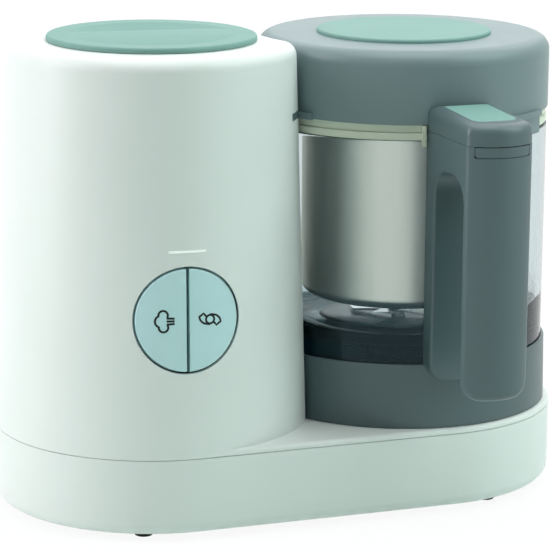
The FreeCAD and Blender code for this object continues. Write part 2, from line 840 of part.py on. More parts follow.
def make_controls():
    board_low = d.button_height - d.button_radius - d.board_margin_low
    board_high = d.light_height + d.board_margin_high
    ring_inner = d.button_radius + d.button_gap + d.sliding_clearance
    frame = cut(front_cylinder(ring_inner + d.frame_wall, d.board_front, d.base_radius, tower_x,
                               d.button_height, d.panel_turn),
                front_cylinder(ring_inner, d.board_front - PAST, d.base_radius + PAST, tower_x,
                               d.button_height, d.panel_turn))
    node(common(frame, tower_form(d.shell_wall, housing_low, top_under, d.tower_rounding)), "panel_frame")
    node(front_box(d.board_width, d.board_front - d.board_thickness, d.board_front, board_low, board_high,
                   tower_x, d.panel_turn), "control_board")
    lamp = common(light_bar(0.0, d.base_radius + PAST),
                  tower_form(-d.light_proud, housing_low, d.tower_height, d.tower_rounding))
    node(lamp, "indicator_light")

    back = d.button_face - d.button_depth
    stop = back - d.button_travel - d.sliding_clearance
    switches = []
    for label, side in (("steam_button", -1.0), ("blend_button", 1.0)):
        face = common(front_cylinder(d.button_radius, back, d.base_radius + PAST, tower_x,
                                     d.button_height, d.panel_turn),
                      tower_form(-d.button_proud, housing_low, d.tower_height, d.tower_rounding))
        skirt = common(front_cylinder(d.button_radius + d.button_gap - d.sliding_clearance, back,
                                      d.base_radius + PAST, tower_x, d.button_height, d.panel_turn),
                       tower_form(d.button_skirt_inset, housing_low, top_under, d.tower_rounding))
        whole = fuse(rounded(face, d.button_rounding, is_button_front), skirt)
        reach = d.button_radius + d.button_gap + PAST
        half = front_box(reach, back - PAST, d.base_radius + PAST, d.button_height - reach,
                         d.button_height + reach, tower_x, d.panel_turn,
                         side * (d.button_split / 2 + reach / 2))
        node(common(whole, half), label)
        shift = side * d.button_radius / 2
        for width, front in ((d.switch_width, stop - d.plunger_height), (d.plunger_width, stop)):
            switches.append(front_box(width, d.board_front, front, d.button_height - width / 2,
                                      d.button_height + width / 2, tower_x, d.panel_turn, shift))
    node(fuse(*switches), "tact_switches")


def is_button_front(edge):
    """The edge round the curved front of the buttons."""
    turn = math.radians(d.panel_turn.value)
    depths = []
    for vertex in edge.Vertexes:
        x = vertex.X - tower_x.value
        y = vertex.Y - axis_y.value
        depths.append(x * math.sin(turn) - y * math.cos(turn))
    return min(depths) > (d.button_face - d.button_depth).value + SAME


# Water tank, heater and steam outlet

def clamp_screw_places():
    for index in range(CLAMP_SCREW_COUNT):
        angle = math.radians(FULL_TURN * (index + 0.5) / CLAMP_SCREW_COUNT)
        x = tower_x + d.clamp_screw_circle * math.cos(angle)
        y = axis_y + d.clamp_screw_circle * math.sin(angle)
        yield x, y


def clamp_bores(low, high):
    return [cylinder(d.clamp_screw_radius, low, high, x, y) for x, y in clamp_screw_places()]


def make_tank():
    screw_top = collar_low + d.collar_depth / 2
    collar = tube(d.neck_radius, d.collar_radius, collar_low, top_under, tower_x)
    node(cut(collar, *clamp_bores(collar_low - PAST, screw_top)), "tank_collar")
    inner = d.tank_radius - d.tank_wall
    node(tube(inner, d.tank_flange_radius, tank_top, collar_low, tower_x), "tank_gasket")
    shell = turned([(0.0, tank_low), (d.tank_radius, tank_low), (d.tank_radius, tank_top - d.tank_wall),
                    (d.tank_flange_radius, tank_top - d.tank_wall), (d.tank_flange_radius, tank_top),
                    (inner, tank_top), (inner, tank_low + d.tank_wall), (0.0, tank_low + d.tank_wall)],
                   tower_x, [(d.tank_radius, tank_low, d.tank_corner),
                             (inner, tank_low + d.tank_wall, d.tank_corner - d.tank_wall)])
    outlet = side_cylinder(d.steam_bore, inner - WALL_PAST, d.tank_radius + PAST, d.steam_height)
    node(cut(shell, outlet), "water_tank")
    ring = tube(d.tank_radius + d.sliding_clearance, d.collar_radius, clamp_low, tank_top - d.tank_wall,
                tower_x)
    node(cut(ring, *clamp_bores(clamp_low - PAST, tank_top)), "tank_clamp")
    screws = []
    head_low = clamp_low - d.screw_head_height
    for x, y in clamp_screw_places():
        screws.append(cylinder(d.clamp_screw_radius, head_low, screw_top, x, y))
        screws.append(cylinder(d.clamp_screw_head, head_low, clamp_low, x, y))
    node(fuse(*screws), "clamp_screws")

    plate_low = tank_low - d.heater_thickness
    node(disc(d.heater_radius, plate_low, tank_low, tower_x), "heater_plate")
    element = doc.addObject("Part::Torus", "torus")
    bind(element, "Radius1", d.element_circle)
    bind(element, "Radius2", d.element_radius)
    element_height = plate_low - d.element_radius - d.running_clearance
    node(place(element, tower_x, axis_y, element_height), "heater_element")
    node(disc(d.thermostat_radius, plate_low - d.thermostat_height, plate_low, tower_x), "thermostat")

    jug_side = cylinder(bay_inside, tank_low, d.tower_height, jug_x, axis_y)
    tank_side = cylinder(d.tank_radius, tank_low, d.tower_height, tower_x, axis_y)
    far = d.axis_spacing - d.bay_radius + WALL_PAST
    pipe = side_cylinder(d.steam_pipe_radius, d.tank_radius - WALL_PAST, far, d.steam_height)
    bore = side_cylinder(d.steam_bore, d.tank_radius - WALL_PAST - PAST, far + PAST, d.steam_height)
    node(cut(pipe, bore, jug_side, tank_side), "steam_pipe")
    nozzle = side_cylinder(d.nozzle_radius, d.tank_radius, far, d.steam_height)
    tip = tube(d.jug_base_radius + d.sliding_clearance, bay_inside, d.steam_height - d.nozzle_flange_radius,
               d.steam_height + d.nozzle_flange_radius, jug_x)
    node(cut(common(nozzle, tip), bore), "steam_nozzle")


def make_tank_cap():
    low = d.tower_height + d.sliding_clearance
    high = low + d.cap_thickness
    boss_low = low - d.cap_boss_depth
    stem_low = low - d.cap_stem_length
    plug_radius = d.neck_radius - d.sliding_clearance
    knob = turned([(0.0, stem_low), (d.cap_stem_radius, stem_low), (d.cap_stem_radius, boss_low),
                   (plug_radius, boss_low), (plug_radius, low), (d.cap_radius, low),
                   (d.cap_radius, high), (0.0, high)], tower_x,
                  [(d.cap_radius, high, d.cap_rounding)])
    dish_radius = d.cap_dish_radius * d.cap_dish_radius / (d.cap_dish_depth * 2) + d.cap_dish_depth / 2
    dish = doc.addObject("Part::Sphere", "sphere")
    bind(dish, "Radius", dish_radius)
    place(dish, tower_x, axis_y, high - d.cap_dish_depth + dish_radius)
    arch = doc.addObject("Part::Cylinder", "arch")
    bind(arch, "Radius", d.cap_arch_radius)
    bind(arch, "Height", d.cap_radius * 2)
    place(arch, tower_x - d.cap_radius * cosine(d.cap_turn), axis_y - d.cap_radius * sine(d.cap_turn),
          high + d.cap_arch_rise - d.cap_arch_radius, d.cap_turn.value, TO_JUG)
    node(cut(knob, cut(dish, arch)), "tank_cap")

    plug_top = d.tower_height - d.cap_boss_depth
    plug_low = plug_top - d.plug_depth
    groove_low = plug_low + d.plug_wall
    groove_high = groove_low + d.cap_seal_height
    seal_inside = plug_radius - d.cap_seal_depth
    bore = d.cap_stem_radius + d.running_clearance
    node(turned([(bore, plug_low), (plug_radius, plug_low), (plug_radius, groove_low),
                 (seal_inside, groove_low), (seal_inside, groove_high), (plug_radius, groove_high),
                 (plug_radius, plug_top), (bore, plug_top)], tower_x), "tank_plug")
    node(tube(seal_inside, plug_radius, groove_low, groove_high, tower_x), "tank_cap_seal")


# Motor, belt and spindle

belt_high = d.belt_low + d.belt_width
dog_low = d.deck_height + d.seam_gap
dog_high = dog_low + d.dog_height


def make_motor():
    plate_low = d.motor_low - d.bracket_wall
    hub = d.bracket_hole
    stool = turned([(hub, plate_low), (d.bracket_radius - d.bracket_wall, plate_low),
                    (d.bracket_radius - d.bracket_wall, pan_floor), (d.bracket_radius, pan_floor),
                    (d.bracket_radius, d.motor_low), (hub, d.motor_low)], tower_x)
    window = box(d.bracket_radius + PAST, d.large_pulley_radius * 2, belt_high - pan_floor,
                 tower_x, axis_y - d.large_pulley_radius, pan_floor + d.bracket_wall)
    node(cut(stool, window), "motor_bracket")
    bore = d.shaft_radius + d.running_clearance
    inside = d.motor_radius - d.motor_wall
    low = d.motor_low + d.motor_wall
    high = motor_high - d.motor_wall
    node(turned([(bore, d.motor_low), (d.motor_radius, d.motor_low), (d.motor_radius, motor_high),
                 (bore, motor_high), (bore, high), (inside, high), (inside, low), (bore, low)], tower_x),
         "motor_can")
    middle = (d.motor_low + motor_high) / 2
    core_low = middle - d.core_height / 2
    core_high = middle + d.core_height / 2
    node(tube(d.stator_radius, inside, core_low, core_high, tower_x), "motor_stator")
    node(tube(bore, d.stator_radius - d.air_gap, core_low, core_high, tower_x), "rotor_core")
    node(disc(d.shaft_radius, d.belt_low - d.shaft_tail, fan_high, tower_x), "motor_shaft")
    blades = [tube(bore, d.fan_hub_radius, fan_low, fan_high, tower_x)]
    for index in range(FAN_BLADE_COUNT):
        angle = FULL_TURN * index / FAN_BLADE_COUNT
        blades.append(front_box(d.fan_blade_thickness, d.fan_hub_radius - PAST, d.fan_radius, fan_low,
                                fan_high, tower_x, angle))
    node(fuse(*blades), "cooling_fan")


def make_belt_drive():
    low = d.belt_low - d.belt_side_gap
    high = belt_high + d.belt_side_gap
    lip = d.small_pulley_radius + d.pulley_lip
    node(turned([(d.shaft_radius, low - d.pulley_rim), (lip, low - d.pulley_rim), (lip, low),
                 (d.small_pulley_radius, low), (d.small_pulley_radius, high), (lip, high),
                 (lip, high + d.pulley_rim), (d.shaft_radius, high + d.pulley_rim)], tower_x),
         "drive_pulley")
    middle = (d.belt_low + belt_high) / 2
    hub = d.pulley_hub_radius
    rim = d.large_pulley_radius - d.pulley_rim_depth
    web = d.pulley_web / 2
    node(turned([(d.spindle_radius, low), (hub, low), (hub, middle - web), (rim, middle - web), (rim, low),
                 (d.large_pulley_radius, low), (d.large_pulley_radius, high), (rim, high),
                 (rim, middle + web), (hub, middle + web), (hub, high), (d.spindle_radius, high)], jug_x),
         "driven_pulley")
    inner = belt_loop(d.belt_clearance, d.belt_low - PAST, belt_high + PAST)
    node(cut(belt_loop(d.belt_clearance + d.belt_thickness, d.belt_low, belt_high), inner), "drive_belt")


def belt_loop(margin, low, high):
    """The space inside a belt round both pulleys, with a margin."""
    small = d.small_pulley_radius + margin
    large = d.large_pulley_radius + margin
    slant = (large - small) / d.axis_spacing
    across = root(size(1.0) - slant * slant)
    body = doc.addObject("PartDesign::Body", "belt")
    corners = [(tower_x - small * slant, small * across), (tower_x - small * slant, -(small * across)),
               (jug_x - large * slant, -(large * across)), (jug_x - large * slant, large * across)]
    sketch = sketch_on(body, "XY_Plane", corners)
    pad = body.newObject("PartDesign::Pad", "height")
    pad.Profile = sketch
    bind(pad, "Length", size(high) - low)
    body.Tip = pad
    place(body, 0.0, axis_y, low)
    return fuse(body, cylinder(small, low, high, tower_x, axis_y),
                cylinder(large, low, high, jug_x, axis_y))


def make_spindle():
    boss_low = belt_high + d.pulley_rim
    flange_low = deck_under - d.bracket_wall
    node(turned([(d.bearing_radius, boss_low), (d.spindle_boss_radius, boss_low),
                 (d.spindle_boss_radius, flange_low), (d.spindle_flange_radius, flange_low),
                 (d.spindle_flange_radius, deck_under), (d.bearing_radius, deck_under)], jug_x),
         "spindle_housing")
    bore = d.spindle_radius + d.running_clearance
    lower = tube(bore, d.bearing_radius, boss_low, boss_low + d.bearing_height, jug_x)
    upper = tube(bore, d.bearing_radius, deck_under - d.bearing_height, deck_under, jug_x)
    node(fuse(lower, upper), "spindle_bearings")
    node(disc(d.spindle_radius, d.belt_low - d.shaft_tail, dog_high, jug_x), "drive_spindle")
    dogs = [tube(d.spindle_radius, d.dog_hub_radius, dog_low, dog_high, jug_x)]
    for index in range(DOG_COUNT):
        dogs.append(front_box(d.dog_width, d.dog_hub_radius - d.dog_overlap, d.dog_radius, dog_low,
                              dog_high, jug_x, FULL_TURN * index / DOG_COUNT))
    node(fuse(*dogs), "drive_dog")


def make_interlock():
    low = d.deck_height - d.pin_length
    x = jug_x - d.pin_offset
    stop = deck_under - d.pin_travel - d.running_clearance
    shoulder = cylinder(d.pin_shoulder_radius, stop - d.pin_shoulder_height, stop, x, axis_y)
    node(fuse(cylinder(d.pin_radius, low, d.deck_height, x, axis_y), shoulder), "interlock_pin")
    across = d.interlock_width
    along = d.interlock_depth
    top = low - d.interlock_gap
    node(box(along, across, top - pan_floor, x - along / 2, axis_y - across / 2, pan_floor),
         "interlock_switch")


# Jug, its base and the blade unit

blade_seat_low = d.jug_floor_low - d.blade_nut_height


def make_jug():
    lip = d.glass_radius + d.sliding_clearance
    base = jug_base_form()
    hollow = turned([(0.0, jug_low - PAST), (d.jug_base_radius - d.jug_base_wall, jug_low - PAST),
                     (d.jug_base_top_radius - d.jug_base_wall, d.jug_floor_low), (0.0, d.jug_floor_low)],
                    jug_x)
    seat = cylinder(lip, jug_floor, d.jug_base_top + PAST, jug_x, axis_y)
    hole = cylinder(d.jug_floor_hole, jug_low, d.jug_base_top, jug_x, axis_y)
    node(cut(base, hollow, seat, hole), "jug_base")
    plate_radius = d.jug_base_top_radius - d.jug_base_wall
    node(tube(d.bottom_plate_hole, plate_radius, jug_low, jug_low + d.bottom_plate_thickness, jug_x),
         "jug_bottom_plate")
    gasket_radius = d.glass_radius - d.glass_foot_rounding
    node(tube(gasket_radius - d.glass_gasket_width, gasket_radius, jug_floor, glass_low, jug_x),
         "glass_gasket")
    inner = d.glass_radius - d.glass_wall
    node(turned([(d.blade_seat_radius, glass_low), (d.glass_radius, glass_low),
                 (d.glass_radius, d.glass_rim), (inner, d.glass_rim), (inner, glass_floor),
                 (d.blade_seat_radius, glass_floor)], jug_x,
                [(d.glass_radius, glass_low, d.glass_foot_rounding), (inner, glass_floor, d.glass_corner),
                 (d.glass_radius, d.glass_rim, d.glass_rim_rounding),
                 (inner, d.glass_rim, d.glass_rim_rounding)]), "jug_glass")


def jug_base_form():
    return turned([(0.0, jug_low), (d.jug_base_radius, jug_low), (d.jug_base_top_radius, d.jug_base_top),
                   (0.0, d.jug_base_top)], jug_x,
                  [(d.jug_base_top_radius, d.jug_base_top, d.jug_base_rounding)])


def make_blade_unit():
    bore = d.blade_shaft_radius + d.running_clearance
    flange_top = glass_floor + d.blade_flange_height
    node(turned([(bore, blade_seat_low), (d.blade_seat_radius, blade_seat_low),
                 (d.blade_seat_radius, glass_floor), (d.blade_flange_radius, glass_floor),
                 (d.blade_flange_radius, flange_top), (bore, flange_top)], jug_x,
                [(d.blade_flange_radius, flange_top, d.blade_flange_rounding)]), "blade_seat")
    node(tube(d.blade_seat_radius, d.blade_nut_radius, blade_seat_low, d.jug_floor_low, jug_x), "blade_nut")
    cup_low = dog_low + d.coupling_gap
    cup_roof = dog_high + d.coupling_gap
    cup_high = cup_roof + d.coupling_roof
    rib_near = d.dog_hub_radius + d.coupling_gap
    rib_far = d.dog_radius + d.dog_clearance + d.dog_overlap
    pieces = [tube(d.dog_radius + d.dog_clearance, d.coupling_radius, cup_low, cup_roof, jug_x),
              tube(d.blade_shaft_radius, d.coupling_radius, cup_roof, cup_high, jug_x)]
    for index in range(DOG_COUNT):
        pieces.append(front_box(d.dog_width, rib_near, rib_far, cup_low, cup_high, jug_x,
                                FULL_TURN * (index + 0.5) / DOG_COUNT))
    node(fuse(*pieces), "jug_coupling")
    hub_high = d.blade_height + d.blade_hub_height
    node(disc(d.blade_shaft_radius, cup_roof, hub_high, jug_x), "blade_shaft")
    nut_radius = d.blade_hub_radius - d.blade_root_depth - d.sliding_clearance
    node(disc(nut_radius, hub_high, blade_top, jug_x, [(nut_radius, blade_top, d.blade_cap_rounding)]),
         "blade_cap_nut")
    pieces = [tube(d.blade_shaft_radius, d.blade_hub_radius, d.blade_height, hub_high, jug_x)]
    for index in range(BLADE_COUNT):
        tilt = d.blade_tilt.value * (1 if index % 2 else -1)
        pieces.append(blade(FULL_TURN * (index + 0.5) / BLADE_COUNT, tilt))
    node(fuse(*pieces), "blades")


def blade(turn, tilt):
    """One blade: a pointed plate from the hub, tilted up or down along its length."""
    body = doc.addObject("PartDesign::Body", "blade")
    root_x = d.blade_hub_radius - d.blade_root_depth
    half = d.blade_width / 2
    sketch = sketch_on(body, "XY_Plane", [(root_x, -half), (d.blade_reach, -d.blade_tip_offset),
                                          (d.blade_reach - half, half), (root_x, half)])
    pad = body.newObject("PartDesign::Pad", "thickness")
    pad.Profile = sketch
    pad.Midplane = True
    bind(pad, "Length", d.blade_thickness)
    body.Tip = pad
    lean = FreeCAD.Rotation(FreeCAD.Vector(0, 1, 0), tilt)
    return place(body, jug_x, axis_y, d.blade_height + d.blade_hub_height / 2, turn, lean)


# Handle

d.handle_bottom = d.jug_base_top - d.handle_overlap
d.handle_seam = d.lid_low - d.handle_seam_drop
d.arch_height = d.handle_seam - d.arch_drop
d.cap_top_rear = d.handle_seam + d.cap_height_rear
d.cap_top_front = d.handle_seam + d.cap_height_front
d.inset_rear = d.lid_radius + d.inset_setback
d.inset_front = d.handle_reach - d.inset_front_margin
d.inset_width = d.handle_width - (d.cap_edge + d.inset_margin) * 2
# The reach of the solids that shape the handle: past its front, and back inside the jug's wall
FRONT = d.handle_reach + WALL_PAST
REAR = d.glass_radius - d.handle_edge - WALL_PAST


def handle_plan(low, high):
    """The handle seen from above: straight sides and a front that bulges between its two corners."""
    bulge = d.handle_reach - d.grip_corner
    half = d.handle_width / 2
    radius = (half * half + bulge * bulge) / (bulge * 2)
    centre = d.handle_reach - radius
    front = common(cylinder(radius, low, high, jug_x, axis_y - centre),
                   front_box(d.handle_width, centre, FRONT, low, high, jug_x))
    return fuse(front, front_box(d.handle_width, REAR, d.grip_corner, low, high, jug_x))


def cap_top(reach):
    """The height of the handle cap's top, which falls a little to the front."""
    fall = (d.cap_top_rear - d.cap_top_front) / (FRONT - REAR)
    return d.cap_top_rear - (size(reach) - REAR) * fall


def make_handle():
    low = d.handle_bottom
    seam = d.handle_seam
    plan = handle_plan(low, seam)
    arch = side_profile([(d.spine_outer, low - PAST), (d.grip_inner, low - PAST),
                         (d.grip_inner, d.arch_height), (d.spine_outer, d.arch_height)],
                        d.handle_width + PAST * 2, jug_x,
                        [(d.spine_outer, d.arch_height, d.arch_rounding),
                         (d.grip_inner, d.arch_height, d.arch_rounding)])
    face = rounded(front_box(d.handle_width, REAR, FRONT, low, seam, jug_x), d.leg_rounding,
                   lies_along(low))
    glass_side = cylinder(d.glass_radius + d.sliding_clearance, low - PAST, seam + PAST, jug_x, axis_y)
    pocket_low = seam - d.trigger_height
    pocket_rear = d.grip_corner - d.trigger_travel - d.sliding_clearance
    slot_rear = d.grip_corner - d.trigger_stem_length - d.trigger_travel - d.sliding_clearance
    trigger_width = d.handle_width - d.trigger_side * 2
    pocket = front_box(trigger_width + d.sliding_clearance * 2, pocket_rear, FRONT, pocket_low,
                       seam + PAST, jug_x)
    slot = front_box(d.trigger_stem_width + d.sliding_clearance * 2, slot_rear, FRONT, pocket_low,
                     seam + PAST, jug_x)
    solid = cut(common(plan, face), arch, glass_side, jug_base_form())
    solid = rounded(solid, d.grip_edge, is_grip_front)
    solid = rounded(solid, d.handle_edge, is_gap_edge)
    node(cut(solid, pocket, slot), "handle_frame")

    cap_low = seam + d.sliding_clearance / 2
    top_plan = handle_plan(cap_low, d.cap_top_rear + PAST)
    slope = side_profile([(REAR, cap_low), (FRONT, cap_low), (FRONT, cap_top(FRONT)),
                          (REAR, cap_top(REAR))], d.handle_width + PAST * 2, jug_x)
    lid_side = cylinder(d.lid_radius + d.handle_lid_gap, cap_low - PAST, d.cap_top_rear + WALL_PAST,
                        jug_x, axis_y)
    cap = rounded(cut(common(top_plan, slope), lid_side), d.cap_edge, is_cap_edge)
    plate = side_profile([(d.inset_rear, cap_top(d.inset_rear) - d.inset_thickness),
                          (d.inset_front, cap_top(d.inset_front) - d.inset_thickness),
                          (d.inset_front, cap_top(d.inset_front)), (d.inset_rear, cap_top(d.inset_rear))],
                         d.inset_width, jug_x)
    inset = rounded(plate, d.inset_corner, is_inset_corner)
    node(inset, "handle_inset")
    node(cut(cap, inset), "handle_cap")

    trigger_low = pocket_low + d.sliding_clearance
    trigger_high = seam - d.sliding_clearance
    bar = front_box(trigger_width, d.grip_corner, FRONT, trigger_low, trigger_high, jug_x)
    lip = common(handle_plan(trigger_low, trigger_high),
                 rounded(bar, d.trigger_corner, lies_along(trigger_low)))
    stem = front_box(d.trigger_stem_width, d.grip_corner - d.trigger_stem_length, d.grip_corner + PAST,
                     trigger_low, trigger_high, jug_x)
    node(fuse(lip, stem), "release_trigger")


def lies_along(z):
    """A test for the edges of a box that run from back to front at one height."""
    flat = level(z)

    def runs_there(edge):
        return flat(edge) and edge.BoundBox.YLength > SAME

    return runs_there


def reaches(edge):
    """How far to the front the ends of an edge lie from the jug axis."""
    return [axis_y.value - vertex.Y for vertex in edge.Vertexes]


def on_handle_side(bounds):
    """Whether an edge's box lies on one of the handle's two flat sides."""
    across = abs(bounds.Center.x - jug_x.value)
    return abs(across - d.handle_width.value / 2) < SAME and bounds.XLength < SAME


def is_grip_front(edge):
    """The outline of the grip's front: its two upright corners and its bottom."""
    top = level(d.handle_seam)
    return min(reaches(edge)) > d.grip_corner.value - SAME and not top(edge)


def is_gap_edge(edge):
    """The outline of the spine's front, and the upright edges of the grip on the finger gap."""
    bounds = edge.BoundBox
    if bounds.YLength > SAME or bounds.ZMax > d.arch_height.value:
        return False
    reach = reaches(edge)[0]
    on_spine = abs(reach - d.spine_outer.value) < SAME
    on_grip = abs(reach - d.grip_inner.value) < SAME
    return on_spine or (on_grip and on_handle_side(bounds))


def is_cap_edge(edge):
    """The rim of the cap's top and its two front corners."""
    bounds = edge.BoundBox
    top = bounds.ZMin > d.cap_top_front.value - d.cap_edge.value / 2
    upright = bounds.YLength < SAME and bounds.ZLength > SAME
    corner = on_handle_side(bounds) and upright and axis_y.value - bounds.Center.y > d.spine_outer.value
    return top or corner


def is_inset_corner(edge):
    """The two front corners of the inset."""
    bounds = edge.BoundBox
    reach = axis_y.value - bounds.Center.y
    upright = bounds.XLength < SAME and bounds.YLength < d.inset_thickness.value
    return upright and reach > d.inset_front.value - d.inset_thickness.value


# Basket

skirt_low = d.glass_rim - d.collar_skirt_height
web_high = skirt_low + d.collar_web


def make_basket():
    inner = d.basket_radius - d.basket_wall
    rim_radius = d.basket_radius + d.basket_rim
    floor = d.basket_bottom + d.basket_wall
    edge = web_high + d.basket_wall
    weld = d.basket_bottom + d.basket_corner + d.basket_weld_rise
    node(turned([(inner, weld), (d.basket_radius, weld), (d.basket_radius, web_high),
                 (rim_radius, web_high), (rim_radius, edge), (inner, edge)], jug_x), "basket")
    dish = turned([(0.0, d.basket_bottom), (d.basket_radius, d.basket_bottom), (d.basket_radius, weld),
                   (inner, weld), (inner, floor), (0.0, floor)], jug_x,
                  [(d.basket_radius, d.basket_bottom, d.basket_corner),
                   (inner, floor, d.basket_corner - d.basket_wall)])
    holes = []
    last = d.basket_radius - d.basket_corner - d.basket_hole_radius - d.basket_ring_margin
    for ring in range(BASKET_RING_COUNT):
        circle = d.basket_ring_first + (last - d.basket_ring_first) * (ring / (BASKET_RING_COUNT - 1.0))
        count = BASKET_RING_COUNT_STEP * (ring + 1)
        for index in range(count):
            angle = 2.0 * math.pi * index / count
            holes.append(cylinder(d.basket_hole_radius, d.basket_bottom - PAST, floor + PAST,
                                  jug_x + circle * math.cos(angle), axis_y + circle * math.sin(angle)))
    node(cut(dish, *holes), "basket_floor")
    flange = d.glass_radius - d.sliding_clearance
    skirt = d.glass_radius - d.glass_wall - d.sliding_clearance
    wall = skirt - d.collar_web
    neck = d.basket_radius + d.running_clearance
    band_high = rim_low + d.collar_band_height
    groove_high = band_high + d.collar_groove_height
    groove = flange - d.collar_groove_depth
    upper = flange - d.collar_step
    collar = turned([(neck, skirt_low), (skirt, skirt_low), (skirt, rim_low), (flange, rim_low),
                     (flange, band_high), (groove, band_high), (groove, groove_high),
                     (upper, groove_high), (upper, rim_high), (wall, rim_high), (wall, web_high),
                     (neck, web_high)], jug_x,
                    [(flange, rim_low, d.collar_rounding), (flange, band_high, d.collar_rounding)])
    tab_low = rim_low - d.tab_drop
    tab_inside = d.glass_radius + d.sliding_clearance
    tab = cut(sector(tab_inside + d.tab_thickness, d.tab_from, d.tab_to, tab_low, rim_high, jug_x),
              cylinder(tab_inside, tab_low - PAST, rim_low, jug_x, axis_y),
              cylinder(skirt, tab_low - PAST, rim_high + PAST, jug_x, axis_y))
    node(fuse(collar, tab), "basket_collar")


# Lid

liner_low = rim_high + d.liner_height


def make_lid():
    under = d.lid_top - d.lid_wall
    inner = d.lid_radius - d.lid_wall
    disc_low = d.lid_top - d.lid_disc_sunk
    shell = turned([(0.0, under), (inner, under), (inner, d.lid_low), (d.lid_radius, d.lid_low),
                    (d.lid_radius, d.lid_top), (d.lid_disc_radius, d.lid_top),
                    (d.lid_disc_radius, disc_low), (0.0, disc_low)], jug_x,
                   [(d.lid_radius, d.lid_top, d.lid_rounding),
                    (inner, under, d.lid_rounding - d.lid_wall)])
    left = lug(d.left_lug_from, d.left_lug_to, d.lid_low - d.left_lug_drop, d.lid_low + d.left_lug_rise)
    right = lug(d.right_lug_from, d.right_lug_to, d.lid_low - d.right_lug_drop,
                d.lid_low + d.right_lug_rise)
    port = side_cylinder(d.steam_bore, d.tank_radius, d.axis_spacing, d.steam_height)
    node(cut(fuse(shell, left, right), port), "lid_shell")
    disc_high = d.lid_top + d.lid_disc_proud
    node(disc(d.lid_disc_radius, disc_low, disc_high, jug_x,
              [(d.lid_disc_radius, disc_high, d.lid_disc_rounding)]), "lid_disc")
    liner_high = liner_low + d.liner_height
    edge = inner - d.sliding_clearance
    ring_outer = inner - d.liner_ring_inset
    ring_inner = ring_outer - d.liner_height
    liner = turned([(0.0, liner_low), (edge, liner_low), (edge, liner_high), (ring_outer, liner_high),
                    (ring_outer, under), (ring_inner, under), (ring_inner, liner_high), (0.0, liner_high)],
                   jug_x)
    holes = [side_cylinder(d.steam_bore, d.tank_radius, d.axis_spacing, d.steam_height)]
    for index in range(LINER_HOLE_COUNT):
        angle = 2.0 * math.pi * index / LINER_HOLE_COUNT
        holes.append(cylinder(d.liner_hole_radius, liner_low - PAST, liner_high + PAST,
                              jug_x + d.liner_hole_circle * math.cos(angle),
                              axis_y + d.liner_hole_circle * math.sin(angle)))
    node(cut(liner, *holes), "lid_liner")
    node(tube(inner - d.seal_width, edge, d.lid_low, liner_low, jug_x), "lid_seal")


def lug(start, end, low, high):
    """A lug on the lid's rim, with a band along its top that stands out a little further."""
    band = sector(d.lug_radius, start, end, high - d.lug_band, high, jug_x)
    block = sector(d.lug_radius - d.lug_step, start, end, low, high, jug_x)
    return cut(fuse(band, block), cylinder(d.lid_radius, low - PAST, high + PAST, jug_x, axis_y))


make_base_pan()
make_feet()
make_base_screws()
make_cord_gland()
make_upper_housing()
make_controls()
make_tank()
make_tank_cap()
make_motor()
make_belt_drive()
make_spindle()
make_interlock()
make_jug()
make_blade_unit()
make_handle()
make_basket()
make_lid()

doc.recompute()
faults = []
for item in doc.Objects:
    if "Invalid" in item.State or "Error" in item.State:
        faults.append("%s failed: %s" % (item.Label, item.State))
for item in nodes:
    if item.Shape.isNull() or not item.Shape.isValid():
        faults.append("%s has no valid shape" % item.Label)
if faults:
    raise RuntimeError("; ".join(faults))

os.makedirs("parts", exist_ok=True)
for item in nodes:
    item.Shape.exportStep(os.path.join("parts", item.Label + ".step"))
    print("%-18s %2d solids %10.1f mm3" % (item.Label, len(item.Shape.Solids), item.Shape.Volume))
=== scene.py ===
import json
import math

import bmesh
import bpy
from mathutils import Matrix, Vector
from mathutils.bvhtree import BVHTree


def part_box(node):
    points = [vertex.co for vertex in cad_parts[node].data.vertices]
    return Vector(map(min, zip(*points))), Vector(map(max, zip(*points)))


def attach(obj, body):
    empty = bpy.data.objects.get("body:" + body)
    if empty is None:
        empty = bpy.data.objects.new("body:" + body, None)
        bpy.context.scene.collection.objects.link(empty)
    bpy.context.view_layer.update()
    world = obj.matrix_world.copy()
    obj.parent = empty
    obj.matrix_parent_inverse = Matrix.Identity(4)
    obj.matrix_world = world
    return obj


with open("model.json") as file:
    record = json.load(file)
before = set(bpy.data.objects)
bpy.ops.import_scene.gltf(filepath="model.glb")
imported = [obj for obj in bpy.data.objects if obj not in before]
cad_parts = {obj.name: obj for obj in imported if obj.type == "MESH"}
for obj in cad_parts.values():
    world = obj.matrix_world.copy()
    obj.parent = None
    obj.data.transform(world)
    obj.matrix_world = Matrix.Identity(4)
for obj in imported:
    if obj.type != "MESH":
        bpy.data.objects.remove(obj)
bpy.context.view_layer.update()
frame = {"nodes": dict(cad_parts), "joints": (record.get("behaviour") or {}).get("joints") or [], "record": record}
nodes = frame["nodes"]
joints = {joint["name"]: joint for joint in frame["joints"]}
scene = bpy.context.scene
scene.view_settings.view_transform = "Standard"

MM = 0.001

# The two upright axes, from the joints that turn on them
TOWER_AXIS = Vector(joints["rotor_spin"]["pos_m"])
JUG_AXIS = Vector(joints["spindle_spin"]["pos_m"])


# Nodes

# Places of the factor, the two colours and the result among the sockets of a colour mix
MIX_FACTOR = 0
MIX_FIRST = 6
MIX_SECOND = 7
MIX_RESULT = 2


def add(tree, kind, **values):
    """A node with some of its inputs set by name."""
    made = tree.nodes.new(kind)
    for key, value in values.items():
        made.inputs[key.replace("_", " ")].default_value = value
    return made


def maths(tree, operation, first, second):
    """The result of a sum on an output and another output or a number."""
    made = add(tree, "ShaderNodeMath")
    made.operation = operation
    tree.links.new(first, made.inputs[0])
    if isinstance(second, float):
        made.inputs[1].default_value = second
    else:
        tree.links.new(second, made.inputs[1])
    return made.outputs["Value"]


